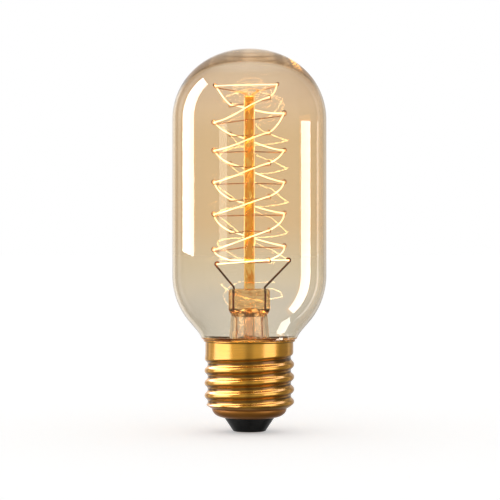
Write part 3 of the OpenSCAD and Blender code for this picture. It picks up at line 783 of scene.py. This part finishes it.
def shellGrid(b):
    # at each turn: the rounded shoulder, the threaded wall, the skirt and the rolled rim, out and back inside
    turn = (np.arange(b["turns"]) * 360 / b["turns"])[:, None]
    ledgeTop = b["ledgeZ"] + b["ledgeRun"]

    def wall(inset):
        a = np.radians(np.linspace(90, 8, 12))[None]
        r0 = b["mouth"] + (b["shoulderRadius"] - b["mouth"] - inset) * np.cos(a)
        z0 = b["shoulderZ"] - (b["shoulderZ"] - b["low"] - inset) * np.sin(a)
        z1 = np.linspace(b["shoulderZ"], b["lipZ"] - 0.02, b["rows"])[None]
        ledge = b["shoulderRadius"] + (b["threadDiameter"] / 2 - b["shoulderRadius"]) * np.sin(
            np.pi / 2 * np.clip((z1 - b["shoulderZ"]) / (ledgeTop - b["shoulderZ"]), 0, 1))
        thread = threadRadius(b, turn, z1)
        r1 = np.where(z1 < ledgeTop, np.minimum(ledge, thread), thread) - inset
        if inset:
            k = np.linspace(0, 1, 8)[None]
            r2 = b["skirtDiameter"] / 2 + b["lipFlare"] * ease(k) - inset
            z2 = b["lipZ"] + (b["rimTop"] - b["lipZ"]) * k
        else:
            bend = b["lipRound"]
            lip = arc((b["rimDiameter"] / 2 - bend, b["rimTop"] - bend), bend, -80, 66, 12)
            r2, z2 = lip[None, :, 0], lip[None, :, 1]
        one = np.ones_like(turn)
        return np.concatenate([r0 * one, r1, r2 * one], 1), np.concatenate([z0 * one, z1 * one, z2 * one], 1)

    (outR, outZ), (inR, inZ) = wall(0), wall(b["wall"])
    r, z = np.concatenate([outR, inR[:, ::-1]], 1), np.concatenate([outZ, inZ[:, ::-1]], 1)
    a = np.radians(turn)
    return np.stack([r * np.cos(a), r * np.sin(a), z], -1)


def brassMaterial(b):
    # lacquered brass: pale clouds and fine turned lines, with painted shade: a darker, browner lower end and
    # dark colour in the thread's grooves and under each crest
    material, tree, shader = newMaterial("warmBrass")
    cloud = noise(tree, objectPoint(tree), b["cloudSize"], detail=4.0)
    lines = noise(tree, objectPoint(tree, b["lineStretch"]), 1.0, detail=3.0)
    lacquer = mixColour(tree, ramp(tree, cloud, [(0.3, 0), (0.75, 0.6)]), b["brass"], b["pale"])
    up = heightFactor(tree, *b["lowSpan"])
    # painted shade: the lower end, which faces the dark below, is darker and browner
    low = ramp(tree, up, b["shoulderShading"])
    worn = mixColour(tree, low, lacquer, b["shoulderShade"])
    # painted shade lies at the bottom of the grooves, told by the distance from the axis, and under each
    # crest, told by the surface facing down
    x, y, _ = parts(tree, objectPoint(tree))
    unshaded, deepest = b["grooveShadeSpan"]
    root = b["rootDiameter"] / 2
    deep = share(tree, distance(tree, x, y), root + unshaded, root + deepest)
    normal = tree.nodes.new("ShaderNodeNewGeometry").outputs["Normal"]
    under = share(tree, parts(tree, normal)["Z"], *b["underCrestShadeSpan"])
    threadShade = times(tree, maths(tree, "MAXIMUM", deep, under), ramp(tree, up, [(0.8, 0), (1.0, 1)]))
    streaks = ramp(tree, lines, [(0.35, b["lineTint"]), (0.6, 1)])
    link(tree, mixColour(tree, 1.0, mixColour(tree, threadShade, worn, b["groove"]), streaks, "MULTIPLY"),
         shader.inputs["Base Color"])
    link(tree, mixColour(tree, low, ramp(tree, cloud, b["sheen"]), b["lowSheen"]), shader.inputs["Roughness"])
    setInputs(shader, Metallic=1.0, Coat_Weight=b["coat"], Coat_Roughness=b["coatRoughness"],
              Coat_IOR=b["coatIor"])
    link(tree, bump(tree, lines, b["lineDepth"]), shader.inputs["Normal"])
    return material


brass = brassMaterial(shell)
addPiece(gridMesh("brassShell", shellGrid(shell), sharp=50), brass, "brass", "screw_shell")
dressNode("centre_contact", brass)
print("brass shell done")


# the insulator, the solder and the cement

foot = {
    "low": 0.3, "lowRadius": 4.85, "lowRound": 0.4, "mouth": 7.35, "mouthZ": 4.25, "top": 8.4,
    "shoulderZ": 6.9, "seatIn": 3.2, "seatDown": 2.2, "hole": 1.0, "contact": 4.1, "contactThick": 0.45,
    "turns": 128,
    "black": [(0.3, (0.003, 0.003, 0.0025)), (0.8, (0.012, 0.011, 0.009))],
    "gloss": [(0.3, 0.16), (0.8, 0.3)], "grainSize": 1.6, "pitSize": 0.7, "pitDepth": 0.03,
    "dust": (0.55, 0.4, 0.22), "dustSpan": (7.4, 8.4), "dusted": [(0.2, 0), (0.5, 1)],
    # a painted glow, standing in for the filament's light on the cement
    "cementGlow": (0.75, 0.4, 0.1), "glowStrength": 0.9,
    "solder": {"name": "tinSolder", "colour": (0.36, 0.36, 0.35), "pale": (0.55, 0.55, 0.53),
               "metallic": 1.0, "roughness": 0.38, "grainSize": 0.8},
    "cement": {"name": "basingCement", "colour": (0.48, 0.33, 0.17), "pale": (0.62, 0.46, 0.26),
               "metallic": 0.0, "roughness": 0.85, "grainSize": 0.4},
}


def insulatorOutline(f):
    # recess for the contact, rounded lower edge, cone, then the seat inside the shell
    a = np.radians(np.linspace(90, 15, 10))
    seat = np.stack([f["mouth"] + f["seatIn"] * np.cos(a), f["shoulderZ"] - f["seatDown"] * np.sin(a)], -1)
    edge = arc((f["lowRadius"] - 0.3, f["low"] + f["lowRound"]), f["lowRound"], -90, -12, 8)
    recess = f["low"] + f["contactThick"]
    return np.concatenate([
        [[f["hole"], recess], [f["contact"], recess], [f["contact"], f["low"]]], edge,
        [[f["mouth"], f["mouthZ"]]], seat, [[10.55, f["top"] - 0.9], [9.5, f["top"]], [f["hole"], f["top"]]]])


def blackGlass(f):
    # inside the cap its top is dusted with cement, which gets a painted glow by emission in place of the lit
    # filament's light on it
    material, tree, shader = newMaterial("blackGlass")
    grain = noise(tree, objectPoint(tree), f["grainSize"], detail=4.0)
    dusted = ramp(tree, heightFactor(tree, *f["dustSpan"]), f["dusted"])
    link(tree, mixColour(tree, dusted, ramp(tree, grain, f["black"]), f["dust"]), shader.inputs["Base Color"])
    link(tree, mixColour(tree, dusted, (0, 0, 0), f["cementGlow"]), shader.inputs["Emission Color"])
    setInputs(shader, Emission_Strength=f["glowStrength"])
    link(tree, ramp(tree, grain, f["gloss"]), shader.inputs["Roughness"])
    pits = noise(tree, objectPoint(tree), f["pitSize"])
    link(tree, bump(tree, pits, f["pitDepth"]), shader.inputs["Normal"])
    return material


def dullSurface(d):
    # an uneven surface of two near colours
    material, tree, shader = newMaterial(d["name"])
    grain = noise(tree, objectPoint(tree), d["grainSize"], detail=5.0)
    link(tree, ramp(tree, grain, [(0.3, d["colour"]), (0.7, d["pale"])]), shader.inputs["Base Color"])
    setInputs(shader, Metallic=d["metallic"], Roughness=d["roughness"])
    link(tree, bump(tree, grain, 0.05), shader.inputs["Normal"])
    return material


addPiece(revolve("insulatorBody", insulatorOutline(foot), foot["turns"], 50), blackGlass(foot),
         "black_glass", "insulator")
solder, cement = dullSurface(foot["solder"]), dullSurface(foot["cement"])
# painted glow: the cement is given an emission in place of the lit filament's light that shines down the
# glass on to it
setInputs(cement.node_tree.nodes["Principled BSDF"], Emission_Color=foot["cementGlow"],
          Emission_Strength=foot["glowStrength"])
for nodeName in ("contact_solder", "shell_solder"):
    dressNode(nodeName, solder)
dressNode("basing_cement", cement)
print("foot done")


# the floor, what surrounds the lamp, the cards and the camera

studio = {
    "floorColour": (0.93, 0.93, 0.93), "floorRoughness": 0.9, "floorSize": 30.0, "floorLift": 0.35,
    "diffuseLevel": 0.72,
    # what metal and glass reflect, by the bearing from the camera's direction, + to its right
    "surround": [(-180, 1.0), (-175, 1.0), (-169, 0.8), (-164, 0.75), (-158, 0.9), (-150, 0.9), (-146, 0.35),
                 (-135, 0.35), (-131, 0.85), (-124, 0.85), (-121, 0.4), (-112, 0.6), (-40, 0.7), (-14, 0.66),
                 (-7, 0.34), (5, 0.34), (13, 0.62), (76, 0.6), (84, 0.3), (121, 0.3), (124, 0.7), (128, 0.7),
                 (131, 0.4), (150, 0.35), (155, 0.65), (160, 0.5), (169, 0.45), (175, 0.95), (180, 1.0)],
    # the same by its rise: what is seen from outside, and what comes back out of the glass
    "risingLevels": [(-90, 0.25), (-40, 0.3), (-12, 1.0), (14, 1.0), (28, 0.6), (60, 0.55), (90, 0.6)],
    "insideLevels": [(-90, 1.0), (12, 1.0), (22, 0.35), (40, 0.22), (50, 1.0), (90, 1.0)],
    "evenShare": 0.75, "evenLevel": 0.38, "warm": (1.0, 0.92, 0.8), "amber": (1.0, 0.66, 0.28),
    # each card: bearing and width in degrees, lowest and highest point in metres, and how bright it is
    "cardFar": 0.8, "insideLight": (1.0, 0.62, 0.16), "brassLight": (0.95, 0.98, 2.1),
    "glassCards": [  # through: how much of it the glass inside the envelope mirrors
        {"name": "glassCardLeft", "bearing": -102.2, "width": 27, "low": 0.0495, "high": 0.88, "bright": 15.0,
         "roll": 0.7, "through": 0.22},
        {"name": "glassCardRight", "bearing": 91.6, "width": 19.8, "low": -0.7, "high": 0.15, "bright": 15.0},
        {"name": "glassNeckRight", "bearing": 112, "width": 20, "low": -1.25, "high": -0.84, "bright": 9.0},
        {"name": "glassEdgeRight", "bearing": 121, "width": 5, "low": -0.66, "high": 0.15, "bright": 2.0},
        {"name": "glassCardFaint", "bearing": -38.5, "width": 12, "low": 0.043, "high": 0.146, "bright": 4.0},
    ],
    "brassCards": [  # rise: how far it is raised, in degrees
        {"name": "brassCardLeft", "bearing": -76, "width": 52, "low": -0.2, "high": 0.4, "bright": 1.5,
         "far": 0.7, "lights": ["brassShell", "centre_contact"]},
        {"name": "brassCardRight", "bearing": 55, "width": 34, "low": -0.2, "high": 0.4, "bright": 1.15,
         "far": 0.7, "lights": ["brassShell", "centre_contact"]},
        {"name": "brassTopLeft", "bearing": -116, "rise": 52, "width": 84, "low": -0.4, "high": 0.43,
         "bright": 3.3, "lights": ["brassShell"]},
        {"name": "brassTopRight", "bearing": 92, "rise": 64, "width": 60, "low": -0.3, "high": 0.33,
         "bright": 1.6, "lights": ["brassShell"]},
    ],
    "camera": (0.0002, -0.507, 0.0531), "lens": 125.0, "sensor": 36.0,
    "maxBounces": 240, "glossyBounces": 220, "transmissionBounces": 128, "transparentBounces": 24,
}


def levelCurve(tree, value, stops):
    # a curve through the stops, read at an angle in degrees
    low, high = stops[0][0], stops[-1][0]
    made = tree.nodes.new("ShaderNodeFloatCurve")
    curve = made.mapping.curves[0]
    for k, (angle, level) in enumerate(stops):
        at = ((angle - low) / (high - low), level)
        if k < 2:
            curve.points[k].location = at
        else:
            curve.points.new(*at)
    for point in curve.points:
        point.handle_type = "VECTOR"
    made.mapping.update()
    link(tree, share(tree, value, low, high), made.inputs["Value"])
    return made.outputs[0]


def makeWorld(s):
    # camera rays and rays straight through the glass see white; reflections see the studio, and
    # those that come out of the glass again see it warmer and more even
    world = bpy.data.worlds.new("softStudio")
    scene.world = world
    world.use_nodes = True
    tree = world.node_tree
    tree.nodes.clear()
    x, y, z = parts(tree, tree.nodes.new("ShaderNodeTexCoord").outputs["Generated"])
    side = times(tree, maths(tree, "ARCTAN2", x, times(tree, y, -1.0)), 180 / math.pi)
    rise = times(tree, maths(tree, "ARCSINE", z), 180 / math.pi)
    path = lightPath(tree)
    inside, reflected = past(tree, path["Transmission Depth"]), past(tree, path["Glossy Depth"])
    outer = times(tree, levelCurve(tree, side, s["surround"]), levelCurve(tree, rise, s["risingLevels"]))
    dome = levelCurve(tree, rise, s["insideLevels"])
    inner = times(tree, dome, plus(tree, times(tree, outer, s["evenShare"]), s["evenLevel"]))
    level = plus(tree, times(tree, outer, minus(tree, 1.0, inside)), times(tree, inner, inside))
    seen = maths(tree, "MAXIMUM", path["Is Camera Ray"], path["Is Transmission Ray"])
    straight = times(tree, minus(tree, 1.0, reflected), seen)
    diffuse = times(tree, path["Is Diffuse Ray"], s["diffuseLevel"])
    gloss = times(tree, minus(tree, reflected, path["Is Diffuse Ray"], clamp=True), level)
    background = tree.nodes.new("ShaderNodeBackground")
    tone = mixColour(tree, dome, s["amber"], s["warm"])
    link(tree, mixColour(tree, times(tree, reflected, inside), (1, 1, 1), tone), background.inputs["Color"])
    link(tree, plus(tree, plus(tree, straight, diffuse), gloss), background.inputs["Strength"])
    out = tree.nodes.new("ShaderNodeOutputWorld")
    link(tree, background.outputs[0], out.inputs["Surface"])


def makeFloor(s):
    # lifted to white where it is looked at, with the lamp's own shadow left on it
    half = s["floorSize"] / 2
    corners = [(-half, -half, 0), (half, -half, 0), (half, half, 0), (-half, half, 0)]
    mesh = bpy.data.meshes.new("paleFloor")
    mesh.from_pydata(corners, [], [(0, 1, 2, 3)])
    floor = bpy.data.objects.new("paleFloor", mesh)
    scene.collection.objects.link(floor)
    material, tree, shader = newMaterial("paleFloor")
    setInputs(shader, Base_Color=s["floorColour"], Roughness=s["floorRoughness"], Specular_IOR_Level=0.0,
              Emission_Color=(1, 1, 1))
    path = lightPath(tree)
    seen = maths(tree, "MAXIMUM", path["Is Camera Ray"], path["Is Transmission Ray"])
    link(tree, times(tree, seen, s["floorLift"]), shader.inputs["Emission Strength"])
    # mirror images look past the floor to what surrounds the lamp
    mixShaders(tree, past(tree, path["Glossy Depth"]), shader, tree.nodes.new("ShaderNodeBsdfTransparent"))
    mesh.materials.append(material)
    floor.visible_glossy = False


def makeCard(card, colour, lights):
    # a soft box that faces the lamp's axis, upright or raised by an angle, and lights these pieces alone
    far = card.get("far", studio["cardFar"])
    width, height = 2 * far * math.tan(math.radians(card["width"] / 2)), card["high"] - card["low"]
    light = bpy.data.lights.new(card["name"], "AREA")
    light.shape = "RECTANGLE"
    light.size, light.size_y = width, height
    light.energy = card["bright"] * math.pi * width * height
    light.color = colour
    holder = bpy.data.objects.new(card["name"], light)
    scene.collection.objects.link(holder)
    b, e = math.radians(card["bearing"]), math.radians(card.get("rise", 0))
    reach, mid = far * math.cos(e), (card["low"] + card["high"]) / 2
    holder.location = (reach * math.sin(b), -reach * math.cos(b), mid + far * math.sin(e))
    holder.rotation_euler = (math.pi / 2 - e, math.radians(card.get("roll", 0)), b)
    holder.visible_camera = holder.visible_transmission = False
    lit = bpy.data.collections.new(card["name"])
    for name in lights:
        lit.objects.link(bpy.data.objects[name] if name in bpy.data.objects else nodes[name])
    holder.light_linking.receiver_collection = lit
    return holder


def showInMirrors(holder, through):
    # only mirror images of the card are seen, fainter and warmer once they have passed through glass
    holder.visible_transmission = True
    holder.data.use_nodes = True
    tree = holder.data.node_tree
    path = lightPath(tree)
    inside, reflected = past(tree, path["Transmission Depth"]), past(tree, path["Glossy Depth"])
    level = minus(tree, 1.0, times(tree, inside, 1.0 - through))
    emission = tree.nodes["Emission"]
    link(tree, times(tree, level, reflected), emission.inputs["Strength"])
    link(tree, mixColour(tree, inside, (1, 1, 1), studio["insideLight"]), emission.inputs["Color"])


makeWorld(studio)
makeFloor(studio)
for card in studio["glassCards"]:
    showInMirrors(makeCard(card, (1, 1, 1), ["glassEnvelope"]), card.get("through", 0.0))
for card in studio["brassCards"]:
    makeCard(card, studio["brassLight"], card["lights"])
lens = bpy.data.cameras.new("photoCamera")
lens.lens = studio["lens"]
lens.sensor_width = studio["sensor"]
camera = bpy.data.objects.new("photoCamera", lens)
scene.collection.objects.link(camera)
camera.location = studio["camera"]
camera.rotation_euler = (math.pi / 2, 0, 0)
scene.camera = camera
scene.view_settings.view_transform = "Standard"
scene.cycles.max_bounces = studio["maxBounces"]
scene.cycles.glossy_bounces = studio["glossyBounces"]
scene.cycles.transmission_bounces = studio["transmissionBounces"]
scene.cycles.transparent_max_bounces = studio["transparentBounces"]
print("studio done")
